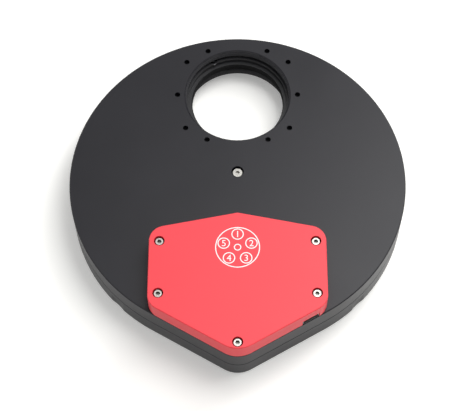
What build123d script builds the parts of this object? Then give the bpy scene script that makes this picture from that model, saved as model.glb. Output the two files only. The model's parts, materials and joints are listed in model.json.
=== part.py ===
from build123d import *

import os
from math import acos, ceil, cos, pi, radians, sin, tan

# Motorised filter wheel for 2 inch optical filters. Sizes are in millimetres.
# The origin is on the optical axis, in the plane of the back face. +Z points out of the
# front face and +Y points away from the drive end. The carousel turns about an axis
# parallel to Z, which is filter_offset below the optical axis.

# Optical path
filter_count = 5
filter_seat_radius = 25.7  # unmounted 50.8 mm filter
filter_ledge = 1.7  # leaves the bore of an M48 x 0.75 thread
filter_web = 2.0  # between neighbouring seats
port_radius = 27.0  # M54 x 0.75 thread
port_chamfer = 0.5
port_ring_setback = 4.0
port_ring_count = 6
port_grid_x = 53.0
port_grid_y = 40.0
port_hole_radius = 1.4  # M3 thread
port_hole_depth = 3.0

# Housing
rim_wall = 5.3  # at its thinnest, beside the port
body_shift = 3.9  # of the disc's centre beyond the carousel axis, towards the drive end
flank_angle = 30.0
tip_radius = 13.0
base_height = 11.0
front_height = 11.0
plate_thickness = 4.4
edge_chamfer = 0.45
seam_chamfer = 0.35
chamber_clearance = 0.75
scoop_angle = 44.7  # from the drive end, each way
scoop_radius = 17.0
scoop_depth = 0.6
scoop_height = 7.5

# Gears
module = 0.8
pressure_angle = 25.0
pinion_teeth = 10
wheel_addendum = 0.55
pinion_addendum = 0.6
root_clearance = 0.2
backlash = 0.12
gear_width = 3.0
gear_rise = 1.0
pinion_width = 3.8
pinion_hub_radius = 2.4
pinion_hub_height = 2.0
ring_thickness = 1.0

# Carousel
carousel_thickness = 7.0
carousel_gap = 1.0
carousel_rim = 0.6  # least wall outside a filter seat
filter_seat_depth = 2.6
carousel_chamfer = 0.3
flange_setback = 0.2
rib_pocket_radius = 5.0
rib_pocket_wall = 5.4
rib_pocket_depth = 3.0
magnet_wall = 3.4
magnet_angle = 17.0  # from the drive end
magnet_radius = 1.5
magnet_height = 2.0
filter_screw_setback = 1.2  # from the edge of the seat
filter_screw_angle = 28.0
filter_screws_each = 2
filter_screw_length = 4.0

# Carousel bearing
bearing_bore_radius = 3.0
bearing_outer_radius = 7.5
bearing_width = 5.0
race_wall = 1.4
race_floor = 1.05  # least wall under a ball
ball_count = 8
ball_clearance = 0.05
cage_wall = 1.0
cage_height = 3.4
shoulder_lip = 1.2
retainer_lip = 0.9
retainer_edge = 1.9
retainer_thickness = 1.0
retainer_screw_setback = 2.1
retainer_screw_count = 3
retainer_screw_length = 4.5
slip_clearance = 0.02

# Axle
axle_shoulder = 1.1
axle_boss_radius = 7.0
axle_boss_height = 1.5
axle_recess = 1.0
front_boss_radius = 5.2
front_boss_height = 1.7
axle_top_gap = 0.2
centre_screw_bore = 3.1
centre_screw_sink = 3.2
centre_screw_length = 8.0
axle_screw_bore = 3.1
axle_screw_sink = 2.2
axle_screw_length = 5.0

# Drive
shaft_radius = 1.25
shaft_overlap = 1.0
shaft_entry = 2.6
shaft_chamfer = 0.3
running_clearance = 0.03
bush_radius = 3.5
bush_flange_radius = 4.2
bush_flange_height = 0.8
gearbox_height = 3.4
gearbox_motor_radius = 12.0
gearbox_output_radius = 5.2
gearbox_ear_radius = 2.8
gearbox_ear_x = 14.0
gearbox_chamfer = 0.4
gearbox_screw_length = 5.6
gearbox_reach = 19.2  # from the motor's axis to the pinion's
motor_radius = 11.0
motor_height = 4.4
motor_fillet = 0.8
motor_band_inset = 0.4
motor_band_height = 2.2
motor_headroom = 0.5
pocket_clearance = 0.6

# Drive cover; a rise is measured from the motor's axis, away from the drive end
cover_wall = 2.5
cover_roof = 1.7
cover_half_width = 42.7
cover_apex_rise = 30.3
cover_shoulder_angle = 11.3
cover_inset = 0.1
cover_corner_radius = 8.0
cover_apex_radius = 2.0
cover_chamfer = 0.35
cover_screw_inset = 5.0
cover_screw_upper_rise = 15.0
cover_screw_lower_rise = -12.3
tip_screw_setback = 3.5
cover_bore_radius = 2.6
cover_bore_depth = 3.4
cover_boss_radius = 3.75
cover_foot_radius = 2.4
cover_foot_height = 5.0
cover_screw_end = 1.0  # left of the plate under the screws

# Control board and its parts
board_thickness = 1.2
board_gap = 1.2
board_notch_gap = 0.1
board_motor_gap = 3.0
board_boss_gap = 0.5
standoff_radius = 2.0
standoff_x = 25.0
standoff_upper_rise = 18.0
standoff_lower_rise = -1.0
stud_radius = 1.2
stud_length = 2.5
board_screw_length = 3.4
usb_width = 8.94
usb_height = 3.25
usb_length = 7.35
usb_shell = 0.3
usb_corner = 1.3
usb_depth = 6.2
usb_tongue_width = 6.7
usb_tongue_height = 0.7
usb_tongue_setback = 1.0
usb_slide = 8.2
usb_setback = 0.3
usb_lift = 0.25
usb_notch_clearance = 0.28
chip_height = 0.9
chip_chamfer = 0.3
controller_size = 7.0
driver_size = 5.0
chip_x = 14.0
chip_rise = 18.0
connector_width = 8.0
connector_depth = 4.2
connector_height = 3.2
connector_wall = 0.6
sensor_width = 4.0
sensor_depth = 1.6
sensor_height = 3.0
sensor_lead = 0.45
sensor_pitch = 1.27
sensor_hole_radius = 2.8
sensor_sink = 2.6

# Screws
thread_clearance = 0.05
drill_allowance = 0.4
m2_radius = 1.0
m25_radius = 1.25
m3_radius = 1.5
m2_key = 1.5
m25_key = 2.0
m3_key = 2.5
m2_head = 1.9
m2_head_height = 1.3
thin_head = 1.7
thin_key = 1.3
filter_screw_head_height = 0.7
retainer_screw_head_height = 1.0
cover_screw_head = 2.15
cover_screw_head_height = 2.5
axle_screw_head = 2.75
centre_screw_head = 2.6
m3_head_height = 2.0
rim_screw_head = 1.9
rim_screw_head_height = 1.8
rim_screw_bore = 2.05
rim_screw_sink = 2.3
rim_screw_length = 12.0
rim_screw_angles = (-62, -28, 10, 50, 90, 130, 170, 208, 242)
head_chamfer_share = 0.125
socket_depth_share = 0.6

# Levels
body_height = base_height + front_height
chamber_top = body_height - plate_thickness
carousel_top = chamber_top - carousel_gap
carousel_bottom = carousel_top - carousel_thickness
gear_bottom = carousel_bottom + gear_rise
gear_top = gear_bottom + gear_width
bearing_top = carousel_bottom + bearing_width
bearing_middle = carousel_bottom + bearing_width / 2
front_boss_bottom = chamber_top - front_boss_height
board_bottom = body_height + usb_height + usb_lift
board_top = board_bottom + board_thickness
cover_height = gearbox_height + motor_height + motor_headroom + cover_roof
cover_top = body_height + cover_height

# Carousel: the seats set the circle of filters, and the circle sets the gear. A number of
# teeth that four divides puts a tooth on the line to the pinion.
filter_bore_radius = filter_seat_radius - filter_ledge
filter_offset = round((filter_seat_radius + filter_web / 2) / sin(pi / filter_count), 1)
least_root_radius = filter_offset + filter_seat_radius + carousel_rim + ring_thickness
wheel_teeth = 4 * ceil((least_root_radius + pinion_addendum + root_clearance) / (2 * module))
wheel_pitch_radius = module * wheel_teeth / 2
wheel_root_radius = wheel_pitch_radius - pinion_addendum - root_clearance
ring_bore_radius = wheel_root_radius - ring_thickness
magnet_offset = ring_bore_radius - magnet_wall - magnet_radius
rib_pocket_offset = ring_bore_radius - rib_pocket_wall - rib_pocket_radius
filter_screw_offset = filter_seat_radius + filter_screw_setback

# Bearing and axle
ball_offset = (bearing_bore_radius + bearing_outer_radius) / 2
ball_radius = (bearing_outer_radius - bearing_bore_radius) / 2 - race_floor
shoulder_radius = bearing_outer_radius - shoulder_lip
retainer_bore = bearing_outer_radius - retainer_lip
retainer_screw_offset = bearing_outer_radius + retainer_screw_setback
retainer_radius = retainer_screw_offset + retainer_edge
axle_flange_radius = bearing_bore_radius + axle_shoulder

# Housing and drive
chamber_radius = wheel_pitch_radius + wheel_addendum + chamber_clearance
body_radius = chamber_radius + rim_wall + body_shift
rim_screw_offset = (chamber_radius + body_radius) / 2
port_ring_radius = port_radius + port_ring_setback
pinion_pitch_radius = module * pinion_teeth / 2
pinion_offset = wheel_pitch_radius + pinion_pitch_radius
pocket_radius = pinion_pitch_radius + pinion_addendum + pocket_clearance
motor_offset = pinion_offset - gearbox_reach
flank_distance = body_radius - cover_inset
tip_offset = body_shift + (body_radius - tip_radius) / cos(radians(flank_angle)) + tip_radius
cover_screw_grip = plate_thickness - cover_screw_end
cover_screw_length = cover_height - cover_bore_depth + cover_screw_grip
board_notch_half = gearbox_ear_x + m2_head + board_notch_gap


def on_both_sides(x, *rises):
    """Points at x and -x, each rise above the motor's axis, from the carousel axis."""
    return [(side * x, rise - motor_offset) for side in (-1, 1) for rise in rises]


def polar_point(radius, angle, shift=0.0):
    """The point at a radius and an angle in degrees from +X, about a centre shifted along -Y."""
    return (radius * cos(radians(angle)), radius * sin(radians(angle)) - shift)


pinion_point = (0, -pinion_offset)
motor_point = (0, -motor_offset)
tip_point = (0, tip_screw_setback - tip_offset)
ear_points = on_both_sides(gearbox_ear_x, 0)
cover_points = on_both_sides(
    cover_half_width - cover_screw_inset, cover_screw_upper_rise, cover_screw_lower_rise
)
standoff_points = on_both_sides(standoff_x, standoff_upper_rise, standoff_lower_rise)
controller_point = (chip_x, chip_rise - motor_offset)
driver_point = (-chip_x, chip_rise - motor_offset)
connector_point = (0, chip_rise - motor_offset)
sensor_point = polar_point(magnet_offset, magnet_angle - 90)
rim_points = [polar_point(rim_screw_offset, angle, body_shift / 2) for angle in rim_screw_angles]
scoop_offset = body_radius + scoop_radius - scoop_depth
scoop_points = [polar_point(scoop_offset, side * scoop_angle - 90, body_shift) for side in (-1, 1)]


def at_wheel(height):
    """The plane across the carousel axis at a height above the back face."""
    return Plane(origin=(0, -filter_offset, height))


wheel_axis = Axis((0, -filter_offset, 0), (0, 0, 1))
wheel_section = Plane(origin=(0, -filter_offset, 0), x_dir=(1, 0, 0), z_dir=(0, -1, 0))
flank_normal = Vector(sin(radians(flank_angle)), -cos(radians(flank_angle)), 0)
flank_along = Vector(cos(radians(flank_angle)), sin(radians(flank_angle)), 0)
usb_mouth = (
    Vector(0, -filter_offset - body_shift, board_bottom - usb_height / 2)
    + flank_normal * (flank_distance - usb_setback)
    - flank_along * usb_slide
)
usb_plane = Plane(origin=usb_mouth, x_dir=flank_along, z_dir=flank_normal)


def body_outline():
    """A disc with two flanks, tangent to it, that meet in a rounded tip."""
    tangent_x = body_radius * sin(radians(flank_angle))
    tangent_y = -body_radius * cos(radians(flank_angle)) - body_shift
    sharp_tip = -body_radius / cos(radians(flank_angle)) - body_shift
    with BuildSketch() as outline:
        with Locations((0, -body_shift)):
            Circle(body_radius)
        with BuildLine():
            Polyline((0, 0), (tangent_x, tangent_y), (0, sharp_tip), (-tangent_x, tangent_y), close=True)
        make_face()
        fillet(outline.vertices().sort_by(Axis.Y)[0], tip_radius)
    return outline.sketch


def cover_outline(inset=0.0):
    """A shield: shallow shoulders, straight sides and flanks parallel to the body's."""
    apex_y = cover_apex_rise - motor_offset
    shoulder_y = apex_y - cover_half_width * tan(radians(cover_shoulder_angle))
    sharp_tip = -flank_distance / cos(radians(flank_angle)) - body_shift
    hip_y = sharp_tip + cover_half_width * tan(radians(flank_angle))
    with BuildSketch() as outline:
        with BuildLine():
            Polyline(
                (0, apex_y),
                (cover_half_width, shoulder_y),
                (cover_half_width, hip_y),
                (0, sharp_tip),
                (-cover_half_width, hip_y),
                (-cover_half_width, shoulder_y),
                close=True,
            )
        make_face()
        sides = outline.vertices().group_by(Axis.X)
        fillet(sides[0] + sides[-1], cover_corner_radius)
        fillet(outline.vertices().sort_by(Axis.Y)[0], tip_radius - cover_inset)
        fillet(outline.vertices().sort_by(Axis.Y)[-1], cover_apex_radius)
        if inset:
            offset(amount=-inset, mode=Mode.REPLACE)
    return outline.sketch


def gear_outline(teeth, addendum, dedendum, steps):
    """An involute gear with a tooth centred on +X, flanks drawn in the given steps."""
    pitch_radius = module * teeth / 2
    base_radius = pitch_radius * cos(radians(pressure_angle))

    def involute(radius):
        angle = acos(min(1.0, base_radius / radius))
        return tan(angle) - angle

    def half_angle(radius):
        return pi / (2 * teeth) - backlash / (4 * pitch_radius) + involute(pitch_radius) - involute(radius)

    low = pitch_radius - dedendum
    radii = [low + (addendum + dedendum) * step / steps for step in range(steps + 1)]
    rising = [(radius, -half_angle(radius)) for radius in radii]
    falling = [(radius, half_angle(radius)) for radius in reversed(radii)]
    points = []
    for tooth in range(teeth):
        middle = 2 * pi * tooth / teeth
        points += [(r * cos(middle + a), r * sin(middle + a)) for r, a in rising + falling]
    with BuildSketch() as outline:
        with BuildLine():
            Polyline(*points, close=True)
        make_face()
    return outline.sketch


def port_rim(housing, level):
    """The edge of the port in the lowest (0) or highest (-1) face of a housing."""
    rims = housing.edges().filter_by(GeomType.CIRCLE).group_by(Axis.Z)[level]
    return rims.filter_by(lambda edge: abs(edge.radius - port_radius) < thread_clearance)


def cap_screw(radius, head_radius, head_height, length, socket):
    """A socket screw, seated at the origin, its shank pointing down."""
    with BuildPart() as screw:
        with BuildSketch():
            Circle(head_radius)
        extrude(amount=head_height)
        chamfer(screw.edges().group_by(Axis.Z)[-1], head_height * head_chamfer_share)
        with BuildSketch():
            Circle(radius)
        extrude(amount=-length)
        with BuildSketch(Plane.XY.offset(head_height)):
            RegularPolygon(socket / 2, 6, major_radius=False)
        extrude(amount=-head_height * socket_depth_share, mode=Mode.SUBTRACT)
    return screw.part


rim_screw = cap_screw(m25_radius, rim_screw_head, rim_screw_head_height, rim_screw_length, m25_key)
cover_screw = cap_screw(m25_radius, cover_screw_head, cover_screw_head_height, cover_screw_length, m25_key)
centre_cap_screw = cap_screw(m3_radius, centre_screw_head, m3_head_height, centre_screw_length, m25_key)
axle_cap_screw = cap_screw(m3_radius, axle_screw_head, m3_head_height, axle_screw_length, m3_key)
board_screw = cap_screw(m2_radius, m2_head, m2_head_height, board_screw_length, m2_key)
gearbox_screw = cap_screw(m2_radius, m2_head, m2_head_height, gearbox_screw_length, m2_key)
retainer_screw = cap_screw(
    m2_radius, thin_head, retainer_screw_head_height, retainer_screw_length, thin_key
)
filter_screw = cap_screw(m2_radius, thin_head, filter_screw_head_height, filter_screw_length, thin_key)

# Housing -------------------------------------------------------------------------------

with BuildPart() as base_housing:
    with BuildSketch(at_wheel(0)):
        add(body_outline())
    extrude(amount=base_height)
    chamfer(base_housing.edges().group_by(Axis.Z)[0], edge_chamfer)
    chamfer(base_housing.edges().group_by(Axis.Z)[-1], seam_chamfer)
    with BuildSketch(at_wheel(plate_thickness)):
        Circle(chamber_radius)
        with Locations(pinion_point):
            Circle(pocket_radius)
    extrude(amount=base_height, mode=Mode.SUBTRACT)
    with BuildSketch(at_wheel(plate_thickness)):
        Circle(axle_boss_radius)
    extrude(amount=axle_boss_height)
    with BuildSketch(at_wheel(plate_thickness + axle_boss_height)):
        Circle(axle_flange_radius + slip_clearance)
    extrude(amount=-axle_recess, mode=Mode.SUBTRACT)
    with BuildSketch(at_wheel(0)):
        Circle(axle_screw_bore)
    extrude(amount=axle_screw_sink, mode=Mode.SUBTRACT)
    with BuildSketch(at_wheel(0)):
        with Locations(*rim_points, tip_point):
            Circle(rim_screw_bore)
    extrude(amount=rim_screw_sink, mode=Mode.SUBTRACT)
    with BuildSketch(at_wheel(0)):
        Circle(m3_radius + thread_clearance)
        with Locations(*rim_points, tip_point):
            Circle(m25_radius + thread_clearance * 2)
    extrude(amount=base_height, mode=Mode.SUBTRACT)
    with BuildSketch(at_wheel(0)):
        with Locations(*scoop_points):
            Circle(scoop_radius)
    extrude(amount=scoop_height, mode=Mode.SUBTRACT)
    with BuildSketch():
        Circle(port_radius)
    extrude(amount=plate_thickness, mode=Mode.SUBTRACT)
    chamfer(port_rim(base_housing, 0), port_chamfer)
    with BuildSketch():
        with PolarLocations(port_ring_radius, port_ring_count):
            Circle(port_hole_radius)
        with GridLocations(port_grid_x, port_grid_y, 2, 2):
            Circle(port_hole_radius)
    extrude(amount=port_hole_depth, mode=Mode.SUBTRACT)
base_housing.part.label = "base_housing"

with BuildPart() as front_housing:
    with BuildSketch(at_wheel(base_height)):
        add(body_outline())
    extrude(amount=front_height)
    chamfer(front_housing.edges().group_by(Axis.Z)[0], seam_chamfer)
    chamfer(front_housing.edges().group_by(Axis.Z)[-1], edge_chamfer)
    with BuildSketch(at_wheel(chamber_top)):
        Circle(chamber_radius)
        with Locations(pinion_point):
            Circle(pocket_radius)
    extrude(amount=-front_height, mode=Mode.SUBTRACT)
    with BuildSketch(at_wheel(chamber_top)):
        Circle(front_boss_radius)
    extrude(amount=-front_boss_height)
    with BuildSketch(at_wheel(body_height)):
        Circle(centre_screw_bore)
    extrude(amount=-centre_screw_sink, mode=Mode.SUBTRACT)
    with BuildSketch(at_wheel(body_height)):
        Circle(m3_radius + thread_clearance * 2)
        with Locations(pinion_point):
            Circle(bush_radius)
        with Locations(sensor_point):
            Circle(sensor_hole_radius)
    extrude(amount=-front_height, mode=Mode.SUBTRACT)
    with BuildSketch(at_wheel(base_height)):
        with Locations(*rim_points, tip_point):
            Circle(m25_radius + thread_clearance)
    extrude(amount=rim_screw_sink + rim_screw_length - base_height + drill_allowance, mode=Mode.SUBTRACT)
    with BuildSketch(at_wheel(body_height)):
        with Locations(*cover_points, tip_point):
            Circle(m25_radius + thread_clearance)
    extrude(amount=-(cover_screw_grip + drill_allowance), mode=Mode.SUBTRACT)
    with BuildSketch(at_wheel(body_height)):
        with Locations(*standoff_points):
            Circle(stud_radius + slip_clearance)
        with Locations(*ear_points):
            Circle(m2_radius + thread_clearance)
    extrude(amount=-(stud_length + drill_allowance), mode=Mode.SUBTRACT)
    with BuildSketch(Plane.XY.offset(body_height)):
        Circle(port_radius)
    extrude(amount=-plate_thickness, mode=Mode.SUBTRACT)
    chamfer(port_rim(front_housing, -1), port_chamfer)
    with BuildSketch(Plane.XY.offset(body_height)):
        with PolarLocations(port_ring_radius, port_ring_count):
            Circle(port_hole_radius)
        with GridLocations(port_grid_x, port_grid_y, 2, 2):
            Circle(port_hole_radius)
    extrude(amount=-port_hole_depth, mode=Mode.SUBTRACT)
front_housing.part.label = "front_housing"

with BuildPart() as housing_screws:
    with Locations(at_wheel(rim_screw_sink)):
        with Locations(*rim_points, tip_point):
            with Locations(Rotation(180, 0, 0)):
                add(rim_screw)
housing_screws.part.label = "housing_screws"

# Axle and carousel bearing ---------------------------------------------------------------

with BuildPart() as axle:
    with BuildSketch(at_wheel(plate_thickness + axle_boss_height - axle_recess)):
        Circle(axle_flange_radius)
    extrude(amount=carousel_bottom - plate_thickness - axle_boss_height + axle_recess)
    with BuildSketch(at_wheel(carousel_bottom)):
        Circle(bearing_bore_radius - slip_clearance)
    extrude(amount=front_boss_bottom - axle_top_gap - carousel_bottom)
    chamfer(axle.edges().group_by(Axis.Z)[-1], shaft_chamfer)
    with BuildSketch(at_wheel(0)):
        Circle(m3_radius + thread_clearance)
    extrude(amount=body_height, mode=Mode.SUBTRACT)
axle.part.label = "axle"

with BuildPart() as axle_screw:
    with Locations(at_wheel(axle_screw_sink)):
        with Locations(Rotation(180, 0, 0)):
            add(axle_cap_screw)
axle_screw.part.label = "axle_screw"

with BuildPart() as centre_screw:
    with Locations(at_wheel(body_height - centre_screw_sink)):
        add(centre_cap_screw)
centre_screw.part.label = "centre_screw"

with BuildPart() as bearing_inner_race:
    with BuildSketch(wheel_section):
        with Locations((bearing_bore_radius, carousel_bottom)):
            Rectangle(race_wall, bearing_width, align=(Align.MIN, Align.MIN))
        with Locations((ball_offset, bearing_middle)):
            Circle(ball_radius + ball_clearance, mode=Mode.SUBTRACT)
    revolve(axis=wheel_axis)
bearing_inner_race.part.label = "bearing_inner_race"

with BuildPart() as bearing_outer_race:
    with BuildSketch(wheel_section):
        with Locations((bearing_outer_radius, carousel_bottom)):
            Rectangle(race_wall, bearing_width, align=(Align.MAX, Align.MIN))
        with Locations((ball_offset, bearing_middle)):
            Circle(ball_radius + ball_clearance, mode=Mode.SUBTRACT)
    revolve(axis=wheel_axis)
bearing_outer_race.part.label = "bearing_outer_race"

with BuildPart() as bearing_balls:
    with Locations(at_wheel(bearing_middle)):
        with PolarLocations(ball_offset, ball_count):
            Sphere(ball_radius)
bearing_balls.part.label = "bearing_balls"

with BuildPart() as bearing_cage:
    with BuildSketch(at_wheel(bearing_middle)):
        Circle(ball_offset + cage_wall / 2)
        Circle(ball_offset - cage_wall / 2, mode=Mode.SUBTRACT)
    extrude(amount=cage_height / 2, both=True)
    with Locations(at_wheel(bearing_middle)):
        with PolarLocations(ball_offset, ball_count):
            Cylinder(ball_radius + ball_clearance, 2 * cage_wall, rotation=(0, 90, 0), mode=Mode.SUBTRACT)
bearing_cage.part.label = "bearing_cage"

with BuildPart() as bearing_spacer:
    with BuildSketch(at_wheel(bearing_top)):
        Circle(axle_flange_radius)
        Circle(bearing_bore_radius + slip_clearance, mode=Mode.SUBTRACT)
    extrude(amount=front_boss_bottom - bearing_top)
bearing_spacer.part.label = "bearing_spacer"

with BuildPart() as bearing_retainer:
    with BuildSketch(at_wheel(carousel_bottom)):
        Circle(retainer_radius)
        Circle(retainer_bore, mode=Mode.SUBTRACT)
        with PolarLocations(retainer_screw_offset, retainer_screw_count):
            Circle(m2_radius + thread_clearance * 2, mode=Mode.SUBTRACT)
    extrude(amount=-retainer_thickness)
bearing_retainer.part.label = "bearing_retainer"

with BuildPart() as retainer_screws:
    with Locations(at_wheel(carousel_bottom - retainer_thickness)):
        with PolarLocations(retainer_screw_offset, retainer_screw_count):
            with Locations(Rotation(180, 0, 0)):
                add(retainer_screw)
retainer_screws.part.label = "retainer_screws"

# Carousel ----------------------------------------------------------------------------------

with BuildPart() as carousel:
    with BuildSketch(at_wheel(gear_top)):
        Circle(wheel_root_radius - flange_setback)
    extrude(amount=carousel_top - gear_top)
    with BuildSketch(at_wheel(carousel_bottom)):
        Circle(ring_bore_radius)
    extrude(amount=gear_top - carousel_bottom)
    chamfer(carousel.edges().group_by(Axis.Z)[-1], carousel_chamfer)
    chamfer(carousel.edges().group_by(Axis.Z)[0], carousel_chamfer)
    with BuildSketch(at_wheel(carousel_bottom)):
        with PolarLocations(filter_offset, filter_count, start_angle=90):
            Circle(filter_bore_radius)
        Circle(shoulder_radius)
    extrude(amount=carousel_thickness, mode=Mode.SUBTRACT)
    with BuildSketch(at_wheel(carousel_top)):
        with PolarLocations(filter_offset, filter_count, start_angle=90):
            Circle(filter_seat_radius)
    extrude(amount=-filter_seat_depth, mode=Mode.SUBTRACT)
    with BuildSketch(at_wheel(carousel_bottom)):
        Circle(bearing_outer_radius)
    extrude(amount=bearing_width, mode=Mode.SUBTRACT)
    with BuildSketch(at_wheel(carousel_bottom)):
        with PolarLocations(rib_pocket_offset, filter_count, start_angle=90 + 180 / filter_count):
            Circle(rib_pocket_radius)
    extrude(amount=rib_pocket_depth, mode=Mode.SUBTRACT)
    with BuildSketch(at_wheel(carousel_bottom)):
        with PolarLocations(retainer_screw_offset, retainer_screw_count):
            Circle(m2_radius + thread_clearance)
    extrude(amount=retainer_screw_length - retainer_thickness + drill_allowance, mode=Mode.SUBTRACT)
    with BuildSketch(at_wheel(carousel_top)):
        with PolarLocations(magnet_offset, filter_count, start_angle=magnet_angle - 90):
            Circle(magnet_radius)
    extrude(amount=-magnet_height, mode=Mode.SUBTRACT)
    with BuildSketch(at_wheel(carousel_top)):
        with PolarLocations(filter_offset, filter_count, start_angle=90):
            with PolarLocations(filter_screw_offset, filter_screws_each, start_angle=filter_screw_angle):
                Circle(thin_head + thread_clearance)
    extrude(amount=-filter_screw_head_height, mode=Mode.SUBTRACT)
    with BuildSketch(at_wheel(carousel_top)):
        with PolarLocations(filter_offset, filter_count, start_angle=90):
            with PolarLocations(filter_screw_offset, filter_screws_each, start_angle=filter_screw_angle):
                Circle(m2_radius + thread_clearance)
    extrude(amount=-(filter_screw_head_height + filter_screw_length + drill_allowance), mode=Mode.SUBTRACT)
carousel.part.label = "carousel"

with BuildPart() as gear_ring:
    with BuildSketch(at_wheel(gear_bottom)):
        add(gear_outline(wheel_teeth, wheel_addendum, pinion_addendum + root_clearance, 1))
        Circle(ring_bore_radius, mode=Mode.SUBTRACT)
    extrude(amount=gear_width)
gear_ring.part.label = "gear_ring"

with BuildPart() as index_magnets:
    with BuildSketch(at_wheel(carousel_top)):
        with PolarLocations(magnet_offset, filter_count, start_angle=magnet_angle - 90):
            Circle(magnet_radius)
    extrude(amount=-magnet_height)
index_magnets.part.label = "index_magnets"

with BuildPart() as filter_screws:
    with Locations(at_wheel(carousel_top - filter_screw_head_height)):
        with PolarLocations(filter_offset, filter_count, start_angle=90):
            with PolarLocations(filter_screw_offset, filter_screws_each, start_angle=filter_screw_angle):
                add(filter_screw)
filter_screws.part.label = "filter_screws"

# Drive -------------------------------------------------------------------------------------

with BuildPart() as drive_pinion:
    with BuildSketch(at_wheel(gear_bottom + (gear_width - pinion_width) / 2)):
        with Locations(pinion_point):
            add(gear_outline(pinion_teeth, pinion_addendum, wheel_addendum + root_clearance, 5))
            Circle(shaft_radius, mode=Mode.SUBTRACT)
    extrude(amount=pinion_width)
    with BuildSketch(at_wheel(gear_top + (pinion_width - gear_width) / 2)):
        with Locations(pinion_point):
            Circle(pinion_hub_radius)
            Circle(shaft_radius, mode=Mode.SUBTRACT)
    extrude(amount=pinion_hub_height)
drive_pinion.part.label = "drive_pinion"

with BuildPart() as motor_shaft:
    with BuildSketch(at_wheel(gear_bottom - shaft_overlap)):
        with Locations(pinion_point):
            Circle(shaft_radius)
    extrude(amount=body_height + shaft_entry - gear_bottom + shaft_overlap)
    chamfer(motor_shaft.edges().group_by(Axis.Z)[0], shaft_chamfer)
motor_shaft.part.label = "motor_shaft"

with BuildPart() as shaft_bush:
    with BuildSketch(at_wheel(chamber_top)):
        with Locations(pinion_point):
            Circle(bush_radius)
    extrude(amount=plate_thickness)
    with BuildSketch(at_wheel(chamber_top)):
        with Locations(pinion_point):
            Circle(bush_flange_radius)
    extrude(amount=-bush_flange_height)
    with BuildSketch(at_wheel(0)):
        with Locations(pinion_point):
            Circle(shaft_radius + running_clearance)
    extrude(amount=body_height, mode=Mode.SUBTRACT)
shaft_bush.part.label = "shaft_bush"

with BuildPart() as gearbox:
    with BuildSketch(at_wheel(body_height)):
        with Locations(motor_point):
            Circle(gearbox_motor_radius)
        with Locations(pinion_point):
            Circle(gearbox_output_radius)
        with Locations(*ear_points):
            Circle(gearbox_ear_radius)
        make_hull()
    extrude(amount=gearbox_height)
    chamfer(gearbox.edges().group_by(Axis.Z)[-1], gearbox_chamfer)
    with BuildSketch(at_wheel(body_height)):
        with Locations(*ear_points):
            Circle(m2_radius + thread_clearance * 2)
    extrude(amount=gearbox_height, mode=Mode.SUBTRACT)
    with BuildSketch(at_wheel(body_height)):
        with Locations(pinion_point):
            Circle(shaft_radius + running_clearance)
    extrude(amount=shaft_entry + drill_allowance, mode=Mode.SUBTRACT)
gearbox.part.label = "gearbox"

with BuildPart() as motor_can:
    with BuildSketch(at_wheel(body_height + gearbox_height)):
        with Locations(motor_point):
            Circle(motor_radius)
    extrude(amount=motor_height)
    fillet(motor_can.edges().group_by(Axis.Z)[-1], motor_fillet)
    with BuildSketch(at_wheel(body_height + gearbox_height + (motor_height - motor_band_height) / 2)):
        with Locations(motor_point):
            Circle(motor_radius)
            Circle(motor_radius - motor_band_inset, mode=Mode.SUBTRACT)
    extrude(amount=motor_band_height, mode=Mode.SUBTRACT)
motor_can.part.label = "motor_can"

with BuildPart() as gearbox_screws:
    with Locations(at_wheel(body_height + gearbox_height)):
        with Locations(*ear_points):
            add(gearbox_screw)
gearbox_screws.part.label = "gearbox_screws"

# Control board -----------------------------------------------------------------------------

with BuildPart() as control_board:
    with BuildSketch(at_wheel(board_bottom)):
        add(cover_outline(cover_wall + board_gap))
        with Locations((0, motor_radius + board_motor_gap - motor_offset)):
            Rectangle(
                2 * board_notch_half, body_radius, align=(Align.CENTER, Align.MAX), mode=Mode.SUBTRACT
            )
        with Locations(*cover_points):
            Circle(cover_boss_radius + board_boss_gap, mode=Mode.SUBTRACT)
        with Locations(*standoff_points):
            Circle(m2_radius + thread_clearance * 2, mode=Mode.SUBTRACT)
    extrude(amount=board_thickness)
control_board.part.label = "control_board"

with BuildPart() as board_standoffs:
    with BuildSketch(at_wheel(body_height)):
        with Locations(*standoff_points):
            RegularPolygon(standoff_radius, 6, major_radius=False)
    extrude(amount=board_bottom - body_height)
    with BuildSketch(at_wheel(body_height)):
        with Locations(*standoff_points):
            Circle(stud_radius)
    extrude(amount=-stud_length)
    with BuildSketch(at_wheel(board_bottom)):
        with Locations(*standoff_points):
            Circle(m2_radius + thread_clearance)
    extrude(amount=-(board_bottom - body_height - drill_allowance), mode=Mode.SUBTRACT)
board_standoffs.part.label = "board_standoffs"

with BuildPart() as board_screws:
    with Locations(at_wheel(board_top)):
        with Locations(*standoff_points):
            add(board_screw)
board_screws.part.label = "board_screws"

with BuildPart() as controller_chip:
    with BuildSketch(at_wheel(board_top)):
        with Locations(controller_point):
            Rectangle(controller_size, controller_size)
    extrude(amount=chip_height)
    chamfer(controller_chip.edges().filter_by(Axis.Z), chip_chamfer)
controller_chip.part.label = "controller_chip"

with BuildPart() as driver_chip:
    with BuildSketch(at_wheel(board_top)):
        with Locations(driver_point):
            Rectangle(driver_size, driver_size)
    extrude(amount=chip_height)
    chamfer(driver_chip.edges().filter_by(Axis.Z), chip_chamfer)
driver_chip.part.label = "driver_chip"

with BuildPart() as motor_connector:
    with BuildSketch(at_wheel(board_top)):
        with Locations(connector_point):
            Rectangle(connector_width, connector_depth)
    extrude(amount=connector_height)
    with BuildSketch(at_wheel(board_top + connector_height)):
        with Locations(connector_point):
            Rectangle(connector_width - 2 * connector_wall, connector_depth - 2 * connector_wall)
    extrude(amount=-(connector_height - connector_wall), mode=Mode.SUBTRACT)
motor_connector.part.label = "motor_connector"

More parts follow.
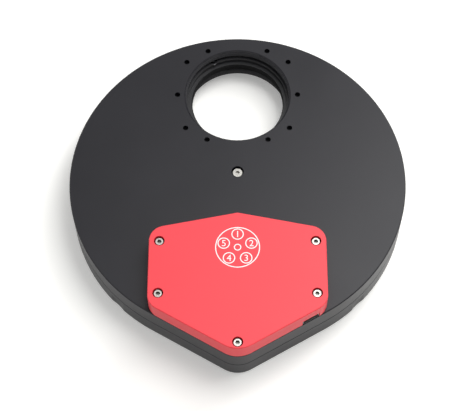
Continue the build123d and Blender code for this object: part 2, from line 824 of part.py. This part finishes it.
with BuildPart() as hall_sensor:
    with BuildSketch(at_wheel(body_height - sensor_sink)):
        with Locations(sensor_point):
            Rectangle(sensor_width, sensor_depth)
    extrude(amount=sensor_height)
    with BuildSketch(at_wheel(body_height - sensor_sink + sensor_height)):
        with Locations(sensor_point):
            with GridLocations(sensor_pitch, 0, 3, 1):
                Rectangle(sensor_lead, sensor_lead)
    extrude(amount=board_bottom - body_height + sensor_sink - sensor_height)
hall_sensor.part.label = "hall_sensor"

with BuildPart() as usb_socket:
    with BuildSketch(usb_plane):
        RectangleRounded(usb_width, usb_height, usb_corner)
    extrude(amount=-usb_length)
    with BuildSketch(usb_plane):
        RectangleRounded(usb_width - 2 * usb_shell, usb_height - 2 * usb_shell, usb_corner - usb_shell)
    extrude(amount=-usb_depth, mode=Mode.SUBTRACT)
    with BuildSketch(usb_plane.offset(-usb_tongue_setback)):
        Rectangle(usb_tongue_width, usb_tongue_height)
    extrude(amount=-(usb_depth - usb_tongue_setback))
usb_socket.part.label = "usb_socket"

# Drive cover -------------------------------------------------------------------------------

with BuildPart() as drive_cover:
    with BuildSketch(at_wheel(body_height)):
        add(cover_outline())
    extrude(amount=cover_height)
    chamfer(drive_cover.edges().group_by(Axis.Z)[-1], cover_chamfer)
    with BuildSketch(at_wheel(body_height)):
        add(cover_outline(cover_wall))
    extrude(amount=cover_height - cover_roof, mode=Mode.SUBTRACT)
    with BuildSketch(at_wheel(body_height + cover_foot_height)):
        with Locations(*cover_points, tip_point):
            Circle(cover_boss_radius)
        add(cover_outline(), mode=Mode.INTERSECT)
    extrude(amount=cover_height - cover_foot_height - cover_roof)
    with BuildSketch(at_wheel(body_height)):
        with Locations(*cover_points, tip_point):
            Circle(cover_foot_radius)
    extrude(amount=cover_foot_height)
    with Locations(at_wheel(cover_top)):
        with Locations(*cover_points, tip_point):
            CounterBoreHole(
                m25_radius + 2 * thread_clearance, cover_bore_radius, cover_bore_depth, cover_height
            )
    with BuildSketch(usb_plane.offset(usb_setback)):
        with Locations((0, -usb_height / 2 - usb_lift)):
            Rectangle(
                usb_width + 2 * usb_notch_clearance,
                usb_height + usb_lift + usb_notch_clearance,
                align=(Align.CENTER, Align.MIN),
            )
    extrude(amount=-2 * cover_wall, mode=Mode.SUBTRACT)
drive_cover.part.label = "drive_cover"

with BuildPart() as drive_cover_screws:
    with Locations(at_wheel(cover_top - cover_bore_depth)):
        with Locations(*cover_points, tip_point):
            add(cover_screw)
drive_cover_screws.part.label = "drive_cover_screws"

# Export ------------------------------------------------------------------------------------

sub_parts = (
    base_housing, front_housing, housing_screws, axle, axle_screw, centre_screw,
    bearing_inner_race, bearing_outer_race, bearing_balls, bearing_cage, bearing_spacer,
    bearing_retainer, retainer_screws, carousel, gear_ring, index_magnets, filter_screws,
    drive_pinion, motor_shaft, shaft_bush, gearbox, motor_can, gearbox_screws,
    control_board, board_standoffs, board_screws, controller_chip, driver_chip,
    motor_connector, hall_sensor, usb_socket, drive_cover, drive_cover_screws,
)

os.makedirs("parts", exist_ok=True)
for sub_part in sub_parts:
    export_step(sub_part.part, f"parts/{sub_part.part.label}.step")
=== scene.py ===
import json
import math

import bmesh
import bpy
from mathutils import Matrix, Vector


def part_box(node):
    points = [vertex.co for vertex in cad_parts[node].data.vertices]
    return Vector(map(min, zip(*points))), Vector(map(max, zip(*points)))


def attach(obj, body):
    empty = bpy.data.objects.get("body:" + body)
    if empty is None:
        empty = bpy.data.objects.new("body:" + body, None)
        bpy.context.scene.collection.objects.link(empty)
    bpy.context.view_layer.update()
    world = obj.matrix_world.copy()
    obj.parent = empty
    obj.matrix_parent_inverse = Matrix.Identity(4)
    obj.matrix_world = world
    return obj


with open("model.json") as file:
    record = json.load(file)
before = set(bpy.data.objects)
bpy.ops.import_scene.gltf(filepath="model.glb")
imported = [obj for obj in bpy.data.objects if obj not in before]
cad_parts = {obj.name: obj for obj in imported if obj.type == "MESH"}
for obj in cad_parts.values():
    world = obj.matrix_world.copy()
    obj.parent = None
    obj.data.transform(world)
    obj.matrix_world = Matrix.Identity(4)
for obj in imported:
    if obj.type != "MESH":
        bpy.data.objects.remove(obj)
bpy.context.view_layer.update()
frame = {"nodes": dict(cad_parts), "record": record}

# Sizes and places, in metres. The wheel turns about a vertical axis through WHEEL.
MM = 0.001
nodes = frame["nodes"]
mounts = {mount["name"]: mount for mount in frame["record"]["mounts"]}
carousel_low, carousel_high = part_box("carousel")
WHEEL = Vector((
    (carousel_low.x + carousel_high.x) / 2, (carousel_low.y + carousel_high.y) / 2, 0.0
))
BACK_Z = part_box("base_housing")[0].z
FACE_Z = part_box("front_housing")[1].z
COVER_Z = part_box("drive_cover")[1].z
FILTER_COUNT = 5

# The threads of the ports and the filter places. A ridge's section is given in pitches.
THREAD_PITCH = 0.75 * MM
PORT_THREAD_DEPTH = 0.42 * MM
PORT_CHAMFER = 0.5 * MM
FILTER_THREAD_DEPTH = 0.4 * MM
THREAD_OVERLAP = 0.02 * MM
THREAD_ROOT_HALF = 0.46
THREAD_CREST_HALF = 0.07
THREAD_SEGMENTS = 96
THREAD_FADE_TURN = 1.0 / 12.0
THREAD_END_SHARE = 0.05

# The camera stands where the photograph was taken from.
LENS = 104.9
SENSOR = 36.0
VIEW_AZIMUTH = math.radians(0.14)
VIEW_ELEVATION = math.radians(62.6)
VIEW_ROLL = math.radians(-0.17)
VIEW_DISTANCE = 0.6844
VIEW_TARGET = WHEEL + Vector((-0.0003, -0.0192, FACE_Z))

# The printed dial on the drive cover: a numbered circle for each filter place.
DIAL_CENTRE = WHEEL + Vector((0.0, -0.0469, COVER_Z))
DIAL_RADIUS = 7.0 * MM
DIAL_CIRCLE = 3.0 * MM
DIAL_LINE = 0.5 * MM
DIAL_RIM = 10.8 * MM
DIAL_HUB = 1.8 * MM
DIAL_DIGIT = 3.3 * MM
INK = 0.01 * MM
RING_SEGMENTS = 48

# The contacts of the USB-C socket, on both faces of its tongue.
CONTACT_COUNT = 12
CONTACT_PITCH = 0.5 * MM
CONTACT_SETBACK = 3.4 * MM
CONTACT_HEIGHT = 0.36 * MM
CONTACT_SIZE = (0.26 * MM, 3.4 * MM, 0.06 * MM)

# Painted shade in a screw's socket starts and is full at these depths under its head's face.
SOCKET_SHADE_START = 0.1 * MM
SOCKET_SHADE_FULL = 0.3 * MM
DARK_SOCKET_SHADE = (0.17, 0.17, 0.155)
PALE_SOCKET_SHADE = (0.34, 0.33, 0.31)

# The studio: the world's strength, and the floor's glow at two distances from its middle.
WORLD_FRONT = 0.3
WORLD_BACK = 0.55
FLOOR_RADIUS = 4.0
FLOOR_GAP = 0.1 * MM
GLOW_NEAR = 0.35
GLOW_FAR = 1.2
GLOW_LOW = 0.25
GLOW_HIGH = 0.75


# Materials --------------------------------------------------------------------------------

class Shader:
    """A Principled material and short ways to add the nodes that vary it."""

    def __init__(self, name, color, roughness, metallic=0.0, specular=0.5):
        self.material = bpy.data.materials.new(name)
        self.material.use_nodes = True
        self.tree = self.material.node_tree
        self.bsdf = self.tree.nodes["Principled BSDF"]
        self.bsdf.inputs["Base Color"].default_value = (*color, 1.0)
        self.bsdf.inputs["Roughness"].default_value = roughness
        self.bsdf.inputs["Metallic"].default_value = metallic
        self.bsdf.inputs["Specular IOR Level"].default_value = specular
        self.color = color
        self.roughness = roughness
        self.place = self.node("ShaderNodeTexCoord").outputs["Object"]

    def node(self, kind, **values):
        made = self.tree.nodes.new(kind)
        for key, value in values.items():
            setattr(made, key, value)
        return made

    def link(self, source, target):
        self.tree.links.new(source, target)

    def noise(self, size, detail=3.0, stretch=None):
        """A noise value whose blobs are about size metres across."""
        texture = self.node("ShaderNodeTexNoise")
        texture.inputs["Scale"].default_value = 1.0 / size
        texture.inputs["Detail"].default_value = detail
        place = self.place
        if stretch:
            mapping = self.node("ShaderNodeMapping")
            mapping.inputs["Scale"].default_value = stretch
            self.link(place, mapping.inputs["Vector"])
            place = mapping.outputs["Vector"]
        self.link(place, texture.inputs["Vector"])
        return texture.outputs["Fac"]

    def remap(self, value, low, high, start=0.3, end=0.7):
        """The value from start to end, spread over low to high."""
        ramp = self.node("ShaderNodeMapRange")
        ramp.inputs["From Min"].default_value = start
        ramp.inputs["From Max"].default_value = end
        ramp.inputs["To Min"].default_value = low
        ramp.inputs["To Max"].default_value = high
        self.link(value, ramp.inputs["Value"])
        return ramp.outputs["Result"]

    def mix(self, factor, first, second):
        """Two colours, or colour sockets, mixed by a factor socket."""
        mixer = self.node("ShaderNodeMix", data_type="RGBA")
        self.link(factor, mixer.inputs["Factor"])
        for socket, color in ((mixer.inputs["A"], first), (mixer.inputs["B"], second)):
            if isinstance(color, bpy.types.NodeSocket):
                self.link(color, socket)
            else:
                socket.default_value = (*color, 1.0)
        return mixer.outputs["Result"]

    def math(self, operation, first, second):
        """The result of a maths node on two numbers or value sockets."""
        node = self.node("ShaderNodeMath", operation=operation)
        for socket, value in zip(node.inputs, (first, second)):
            if isinstance(value, bpy.types.NodeSocket):
                self.link(value, socket)
            else:
                socket.default_value = value
        return node.outputs["Value"]

    def vary_color(self, factor, amount):
        """Mixes the base colour between a darker and a lighter tone."""
        darker = tuple(c * (1.0 - amount) for c in self.color)
        lighter = tuple(min(1.0, c * (1.0 + amount)) for c in self.color)
        mixed = self.mix(factor, darker, lighter)
        self.link(mixed, self.bsdf.inputs["Base Color"])
        return mixed

    def vary_roughness(self, factor, amount):
        """Spreads the roughness by an amount to both sides of its own value."""
        spread = self.remap(factor, self.roughness - amount, self.roughness + amount)
        self.link(spread, self.bsdf.inputs["Roughness"])

    def paint_shade_below(self, color, face, side, shade_color):
        """Paints shade into a colour socket under a screw head's face, which looks up (1) or
        down (-1).
        """
        point = self.node("ShaderNodeNewGeometry").outputs["Position"]
        height = self.node("ShaderNodeSeparateXYZ")
        self.link(point, height.inputs["Vector"])
        limits = (face - side * SOCKET_SHADE_START, face - side * SOCKET_SHADE_FULL)
        sunk = self.remap(height.outputs["Z"], 0.0, 1.0, *limits)
        self.link(self.mix(sunk, color, shade_color), self.bsdf.inputs["Base Color"])

    def relief(self, height, depth):
        """A bump of the given depth in metres."""
        bump = self.node("ShaderNodeBump")
        bump.inputs["Strength"].default_value = 1.0
        bump.inputs["Distance"].default_value = depth
        self.link(height, bump.inputs["Height"])
        self.link(bump.outputs["Normal"], self.bsdf.inputs["Normal"])


def anodised(name, color, roughness, specular, tone=0.06, grain=0.28 * MM, depth=0.006 * MM):
    """Bead blasted and anodised aluminium: a fine grain and slow, faint changes of tone."""
    shader = Shader(name, color, roughness, specular=specular)
    cloud = shader.noise(30.0 * MM, 2.0)
    blast = shader.noise(grain, 4.0)
    shader.vary_color(shader.remap(cloud, 0.0, 1.0), tone)
    shader.vary_roughness(shader.math("MULTIPLY", shader.math("ADD", cloud, blast), 0.5), 0.05)
    shader.relief(blast, depth)
    return shader.material


def machined(name, color, roughness, grain=0.15 * MM, depth=0.003 * MM, tone=0.08, head=None):
    """Bare metal with fine turning marks and slight stains, and painted shade in a screw's
    socket.
    """
    shader = Shader(name, color, roughness, metallic=1.0)
    marks = shader.noise(grain, 3.0, stretch=(1.0, 1.0, 6.0))
    stains = shader.noise(4.0 * MM, 3.0)
    mixed = shader.vary_color(shader.remap(stains, 0.0, 1.0), tone)
    if head:
        shader.paint_shade_below(mixed, *head)
    shader.vary_roughness(marks, 0.07)
    shader.relief(marks, depth)
    return shader.material


def moulded(name, color, roughness, grain=0.4 * MM, depth=0.008 * MM, tone=0.05):
    """Moulded plastic with a fine spark-eroded texture."""
    shader = Shader(name, color, roughness)
    texture = shader.noise(grain, 3.0)
    shader.vary_color(shader.remap(shader.noise(10.0 * MM, 2.0), 0.0, 1.0), tone)
    shader.vary_roughness(texture, 0.05)
    shader.relief(texture, depth)
    return shader.material


def circuit_board():
    """Green solder mask with faint copper tracks under it."""
    mask = (0.012, 0.11, 0.045)
    pale_mask = (0.014, 0.125, 0.05)
    deep_mask = (0.01, 0.09, 0.04)
    track = (0.03, 0.22, 0.10)
    track_pitch = 2.2 * MM
    shader = Shader("board_laminate", mask, 0.32)
    tracks = shader.node("ShaderNodeTexBrick")
    tracks.inputs["Scale"].default_value = 1.0 / track_pitch
    tracks.inputs["Mortar Size"].default_value = 0.06
    for socket, color in (("Color1", mask), ("Color2", pale_mask), ("Mortar", track)):
        tracks.inputs[socket].default_value = (*color, 1.0)
    shader.link(shader.place, tracks.inputs["Vector"])
    cloud = shader.remap(shader.noise(6.0 * MM, 2.0), 0.0, 0.35)
    mixed = shader.mix(cloud, tracks.outputs["Color"], deep_mask)
    shader.link(mixed, shader.bsdf.inputs["Base Color"])
    shader.relief(tracks.outputs["Fac"], 0.03 * MM)
    return shader.material


BLACK = anodised("housing_black", (0.0072, 0.0069, 0.0102), 0.37, 0.30)
CAROUSEL_BLACK = anodised("carousel_black", (0.012, 0.012, 0.014), 0.40, 0.40, tone=0.04)
# The filter threads get a near-black darker than the carousel: painted shade of the deep filter
# bores.
BORE_SHADE_BLACK = anodised("bore_painted_shade", (0.003, 0.003, 0.0035), 0.55, 0.12, tone=0.04)
RED = anodised("cover_red", (0.94, 0.063, 0.081), 0.42, 0.30, tone=0.03)
STEEL = (0.36, 0.352, 0.328)
SCREW = machined("screw_stainless", STEEL, 0.30)
# Darkened steel for the filter screws: painted shade of the screws under the front plate.
SHADED_FILTER_SCREW = machined("filter_screw_painted_shade", (0.16, 0.16, 0.17), 0.22)
BEARING = machined("bearing_steel", (0.72, 0.72, 0.73), 0.14)
BRASS = machined("turned_brass", (0.78, 0.56, 0.24), 0.28)
BRONZE = machined("sintered_bronze", (0.50, 0.31, 0.16), 0.48, grain=0.3 * MM)
NICKEL = machined("bright_nickel", (0.78, 0.76, 0.72), 0.18)
# The USB socket's nickel shell is made dark: painted shade inside its slot.
SHADED_SHELL = machined("nickel_shell_painted_shade", (0.30, 0.30, 0.29), 0.30)
MOTOR = machined("zinc_plate", (0.58, 0.58, 0.57), 0.34)
ACETAL = moulded("natural_acetal", (0.70, 0.69, 0.64), 0.42)
NYLON = moulded("black_nylon", (0.02, 0.02, 0.022), 0.5)
EPOXY = moulded("chip_epoxy", (0.018, 0.018, 0.02), 0.45, grain=0.2 * MM)
CREAM = moulded("connector_nylon", (0.72, 0.69, 0.60), 0.4)
BOARD = circuit_board()
WHITE_INK = moulded(
    "white_ink", (0.90, 0.90, 0.89), 0.45, grain=0.2 * MM, depth=0.002 * MM, tone=0.02
)
GOLD = machined("gold_plate", (0.86, 0.62, 0.28), 0.22)

SLOT_MATERIALS = {
    "housing_anodised": BLACK,
    "carousel_anodised": CAROUSEL_BLACK,
    "cover_anodised": RED,
    "screw_steel": SCREW,
    "bearing_steel": BEARING,
    "cage_brass": BRASS,
    "gear_polymer": ACETAL,
    "gear_brass": BRASS,
    "bush_bronze": BRONZE,
    "standoff_brass": BRASS,
    "magnet_nickel": NICKEL,
    "gearbox_plastic": NYLON,
    "motor_steel": MOTOR,
    "board_laminate": BOARD,
    "chip_plastic": EPOXY,
    "connector_plastic": CREAM,
    "usb_steel": SHADED_SHELL,
}

for entry in frame["record"]["subparts"]:
    node = nodes[entry["node"]]
    node.data.materials.clear()
    node.data.materials.append(SLOT_MATERIALS[entry["material_slot"]])
# The filter screws get the darkened steel, which paints their shade under the front plate.
nodes["filter_screws"].data.materials[0] = SHADED_FILTER_SCREW
# Painted shade darkens each sunk screw's socket and the head's sides below its face.
for name, side, shade_color in (
    ("drive_cover_screws", 1, DARK_SOCKET_SHADE), ("centre_screw", 1, PALE_SOCKET_SHADE),
    ("housing_screws", -1, DARK_SOCKET_SHADE), ("axle_screw", -1, DARK_SOCKET_SHADE),
):
    low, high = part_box(name)
    head = (high.z if side > 0 else low.z, side, shade_color)
    nodes[name].data.materials[0] = machined("steel_" + name, STEEL, 0.32, head=head)


# New pieces -------------------------------------------------------------------------------

def new_object(name, mesh, material, body):
    """Puts a finished bmesh into the scene as a piece of the object."""
    data = bpy.data.meshes.new(name)
    mesh.to_mesh(data)
    mesh.free()
    data.materials.append(material)
    made = bpy.data.objects.new(name, data)
    bpy.context.scene.collection.objects.link(made)
    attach(made, body)


def add_thread(mesh, centre, radius, low, high, depth):
    """A helical ridge on the inside of a bore: a closed flat-topped section swept round it.

    The ridge fades out over the first and the last part of a turn.
    """
    turns = (high - low) / THREAD_PITCH - 1.0
    steps = int(turns * THREAD_SEGMENTS)
    rings = []
    for step in range(steps + 1):
        angle = 2.0 * math.pi * step / THREAD_SEGMENTS
        height = low + THREAD_PITCH * (step / THREAD_SEGMENTS + 0.5)
        end_turn = min(step, steps - step) / THREAD_SEGMENTS
        fade = min(1.0, end_turn / THREAD_FADE_TURN)
        out = Vector((math.cos(angle), math.sin(angle), 0.0))
        root = radius + THREAD_OVERLAP
        crest = root - (depth + THREAD_OVERLAP) * max(fade, THREAD_END_SHARE)
        section = (
            (root, -THREAD_ROOT_HALF), (crest, -THREAD_CREST_HALF),
            (crest, THREAD_CREST_HALF), (root, THREAD_ROOT_HALF),
        )
        rings.append([
            mesh.verts.new(centre + out * r + Vector((0, 0, height + THREAD_PITCH * z)))
            for r, z in section
        ])
    for first, second in zip(rings, rings[1:]):
        for corner in range(4):
            following = (corner + 1) % 4
            mesh.faces.new((first[corner], second[corner], second[following], first[following]))
    mesh.faces.new(reversed(rings[0]))
    mesh.faces.new(rings[-1])


def add_threads():
    """The M54 threads of both ports and the M48 threads of the five filter places."""
    port = mounts["camera_port"]["dims"]
    radius = port["r_mm"] * MM
    plate = port["length_mm"] * MM
    for name, low in (
        ("front_port_thread", FACE_Z - PORT_CHAMFER - plate),
        ("rear_port_thread", BACK_Z + PORT_CHAMFER),
    ):
        mesh = bmesh.new()
        add_thread(mesh, Vector(), radius, low, low + plate, PORT_THREAD_DEPTH)
        bmesh.ops.recalc_face_normals(mesh, faces=mesh.faces)
        new_object(name, mesh, BLACK, "housing")
    seat = mounts["filter_seat"]["dims"]
    radius = seat["r_mm"] * MM
    low = carousel_low.z
    high = low + seat["length_mm"] * MM
    mesh = bmesh.new()
    for place in range(FILTER_COUNT):
        angle = math.radians(90.0 + 360.0 / FILTER_COUNT * place)
        centre = WHEEL - WHEEL.y * Vector((math.cos(angle), math.sin(angle), 0.0))
        add_thread(mesh, centre, radius, low, high, FILTER_THREAD_DEPTH)
    bmesh.ops.recalc_face_normals(mesh, faces=mesh.faces)
    new_object("filter_threads", mesh, BORE_SHADE_BLACK, "carousel")


def add_numeral(mesh, digit, centre, height):
    """A digit of the given height, centred on a point, an ink's height under and over it."""
    curve = bpy.data.curves.new("numeral", "FONT")
    curve.body = digit
    curve.size = 1.0
    curve.extrude = 0.5
    holder = bpy.data.objects.new("numeral", curve)
    bpy.context.scene.collection.objects.link(holder)
    bpy.context.view_layer.update()
    graph = bpy.context.evaluated_depsgraph_get()
    data = bpy.data.meshes.new_from_object(holder.evaluated_get(graph))
    low = [min(vertex.co[axis] for vertex in data.vertices) for axis in range(3)]
    high = [max(vertex.co[axis] for vertex in data.vertices) for axis in range(3)]
    scale = height / (high[1] - low[1])
    for vertex in data.vertices:
        flat = [(vertex.co[axis] - (low[axis] + high[axis]) / 2) * scale for axis in range(2)]
        vertex.co = centre + Vector((*flat, vertex.co.z * 2 * INK))
    mesh.from_mesh(data)
    bpy.data.objects.remove(holder)
    bpy.data.curves.remove(curve)
    bpy.data.meshes.remove(data)


def add_ring(mesh, centre, outer):
    """A printed ring, as wide as the dial's line, from an ink's height under to one over it."""
    inner = outer - DIAL_LINE
    angles = [2.0 * math.pi * step / RING_SEGMENTS for step in range(RING_SEGMENTS)]
    loops = []
    for radius, height in ((outer, -INK), (outer, INK), (inner, INK), (inner, -INK)):
        points = [Vector((radius * math.cos(a), radius * math.sin(a), height)) for a in angles]
        loops.append([mesh.verts.new(centre + point) for point in points])
    for first, second in zip(loops, loops[1:] + loops[:1]):
        for step in range(RING_SEGMENTS):
            following = (step + 1) % RING_SEGMENTS
            mesh.faces.new((first[step], first[following], second[following], second[step]))


def add_dial_print():
    """White print on the drive cover: a dial that numbers the filter places."""
    mesh = bmesh.new()
    add_ring(mesh, DIAL_CENTRE, DIAL_RIM)
    add_ring(mesh, DIAL_CENTRE, DIAL_HUB)
    for place in range(FILTER_COUNT):
        angle = math.radians(90.0 - 360.0 / FILTER_COUNT * place)
        centre = DIAL_CENTRE + DIAL_RADIUS * Vector((math.cos(angle), math.sin(angle), 0.0))
        add_ring(mesh, centre, DIAL_CIRCLE)
        add_numeral(mesh, str(place + 1), centre, DIAL_DIGIT)
    bmesh.ops.recalc_face_normals(mesh, faces=mesh.faces)
    new_object("dial_print", mesh, WHITE_INK, "housing")


def add_usb_contacts():
    """The gold contacts on both faces of the USB-C tongue."""
    port = mounts["usb_port"]
    out = Vector(port["axis"])
    along = Vector((-out.y, out.x, 0.0))
    row = Vector(port["pos_m"]) - out * CONTACT_SETBACK
    turn = Matrix((along, out, Vector((0.0, 0.0, 1.0)))).transposed().to_4x4()
    size = Matrix.Diagonal((*CONTACT_SIZE, 1.0))
    mesh = bmesh.new()
    for side in (-1, 1):
        for contact in range(CONTACT_COUNT):
            middle = row + along * (contact - (CONTACT_COUNT - 1) / 2) * CONTACT_PITCH
            middle.z += side * CONTACT_HEIGHT
            place = Matrix.Translation(middle) @ turn @ size
            bmesh.ops.create_cube(mesh, size=1.0, matrix=place)
    new_object("usb_contacts", mesh, GOLD, "housing")


add_threads()
add_dial_print()
add_usb_contacts()


# Camera, lights and floor -------------------------------------------------------------------

def set_camera():
    """Puts the camera where the photograph was taken from, turned by its slight roll."""
    back = Vector((
        math.sin(VIEW_AZIMUTH) * math.cos(VIEW_ELEVATION),
        -math.cos(VIEW_AZIMUTH) * math.cos(VIEW_ELEVATION),
        math.sin(VIEW_ELEVATION),
    ))
    right = Vector((math.cos(VIEW_AZIMUTH), math.sin(VIEW_AZIMUTH), 0.0))
    up = back.cross(right)
    turned_right = right * math.cos(VIEW_ROLL) + up * math.sin(VIEW_ROLL)
    turned_up = up * math.cos(VIEW_ROLL) - right * math.sin(VIEW_ROLL)
    camera = bpy.data.cameras.new("camera")
    camera.lens = LENS
    camera.sensor_width = SENSOR
    camera.clip_start = 0.01
    holder = bpy.data.objects.new("camera", camera)
    turn = Matrix((turned_right, turned_up, back)).transposed().to_4x4()
    holder.matrix_world = Matrix.Translation(VIEW_TARGET + back * VIEW_DISTANCE) @ turn
    bpy.context.scene.collection.objects.link(holder)
    bpy.context.scene.camera = holder


def add_softbox(name, place, target, width, watts):
    """A square lamp that looks at a point."""
    light = bpy.data.lights.new(name, "AREA")
    light.shape = "SQUARE"
    light.size = width
    light.energy = watts
    holder = bpy.data.objects.new(name, light)
    holder.location = place
    holder.rotation_euler = (Vector(target) - Vector(place)).to_track_quat("-Z", "Y").to_euler()
    bpy.context.scene.collection.objects.link(holder)


def seen_by_eyes(tree):
    """A socket that is 1 for camera, glossy and transmission rays, and 0 for the rest."""
    path = tree.nodes.new("ShaderNodeLightPath")
    seen = path.outputs["Is Camera Ray"]
    for ray in ("Is Glossy Ray", "Is Transmission Ray"):
        either = tree.nodes.new("ShaderNodeMath")
        either.operation = "MAXIMUM"
        tree.links.new(seen, either.inputs[0])
        tree.links.new(path.outputs[ray], either.inputs[1])
        seen = either.outputs["Value"]
    return seen


def set_world():
    """A white studio that lights the object more from behind than from the front."""
    world = bpy.data.worlds.new("studio")
    bpy.context.scene.world = world
    world.use_nodes = True
    tree = world.node_tree
    place = tree.nodes.new("ShaderNodeTexCoord")
    direction = tree.nodes.new("ShaderNodeSeparateXYZ")
    tree.links.new(place.outputs["Generated"], direction.inputs["Vector"])
    lit = tree.nodes.new("ShaderNodeMapRange")
    lit.inputs["From Min"].default_value = -0.9
    lit.inputs["From Max"].default_value = 0.2
    lit.inputs["To Min"].default_value = WORLD_FRONT
    lit.inputs["To Max"].default_value = WORLD_BACK
    tree.links.new(direction.outputs["Y"], lit.inputs["Value"])
    either = tree.nodes.new("ShaderNodeMath")
    either.operation = "MAXIMUM"
    tree.links.new(seen_by_eyes(tree), either.inputs[0])
    tree.links.new(lit.outputs["Result"], either.inputs[1])
    background = tree.nodes["Background"]
    background.inputs["Color"].default_value = (1.0, 1.0, 1.0, 1.0)
    tree.links.new(either.outputs["Value"], background.inputs["Strength"])


def add_floor():
    """A pale table top that glows to the eye only, and more so far from the object."""
    mesh = bmesh.new()
    bmesh.ops.create_circle(mesh, cap_ends=True, segments=96, radius=FLOOR_RADIUS)
    data = bpy.data.meshes.new("floor")
    mesh.to_mesh(data)
    mesh.free()
    floor = bpy.data.objects.new("floor", data)
    floor.location.z = BACK_Z - FLOOR_GAP
    bpy.context.scene.collection.objects.link(floor)
    shader = Shader("floor_white", (0.92, 0.915, 0.885), 0.9, specular=0.1)
    shader.bsdf.inputs["Emission Color"].default_value = (1.0, 1.0, 1.0, 1.0)
    reach = shader.node("ShaderNodeVectorMath", operation="LENGTH")
    shader.link(shader.place, reach.inputs[0])
    glow = shader.remap(reach.outputs["Value"], GLOW_LOW, GLOW_HIGH, GLOW_NEAR, GLOW_FAR)
    seen_glow = shader.math("MULTIPLY", seen_by_eyes(shader.tree), glow)
    shader.link(seen_glow, shader.bsdf.inputs["Emission Strength"])
    cloud = shader.remap(shader.noise(0.4, 2.0), 0.0, 1.0)
    shader.vary_color(cloud, 0.01)
    data.materials.append(shader.material)


set_camera()
set_world()
add_floor()
add_softbox("key_light", (0.27, 0.13, 0.81), (0.0, -0.05, 0.0), 0.5, 4.4)
add_softbox("glare_light", (0.44, 0.40, 0.60), (0.04, -0.05, 0.0), 0.3, 2.2)
bpy.context.scene.view_settings.view_transform = "Standard"
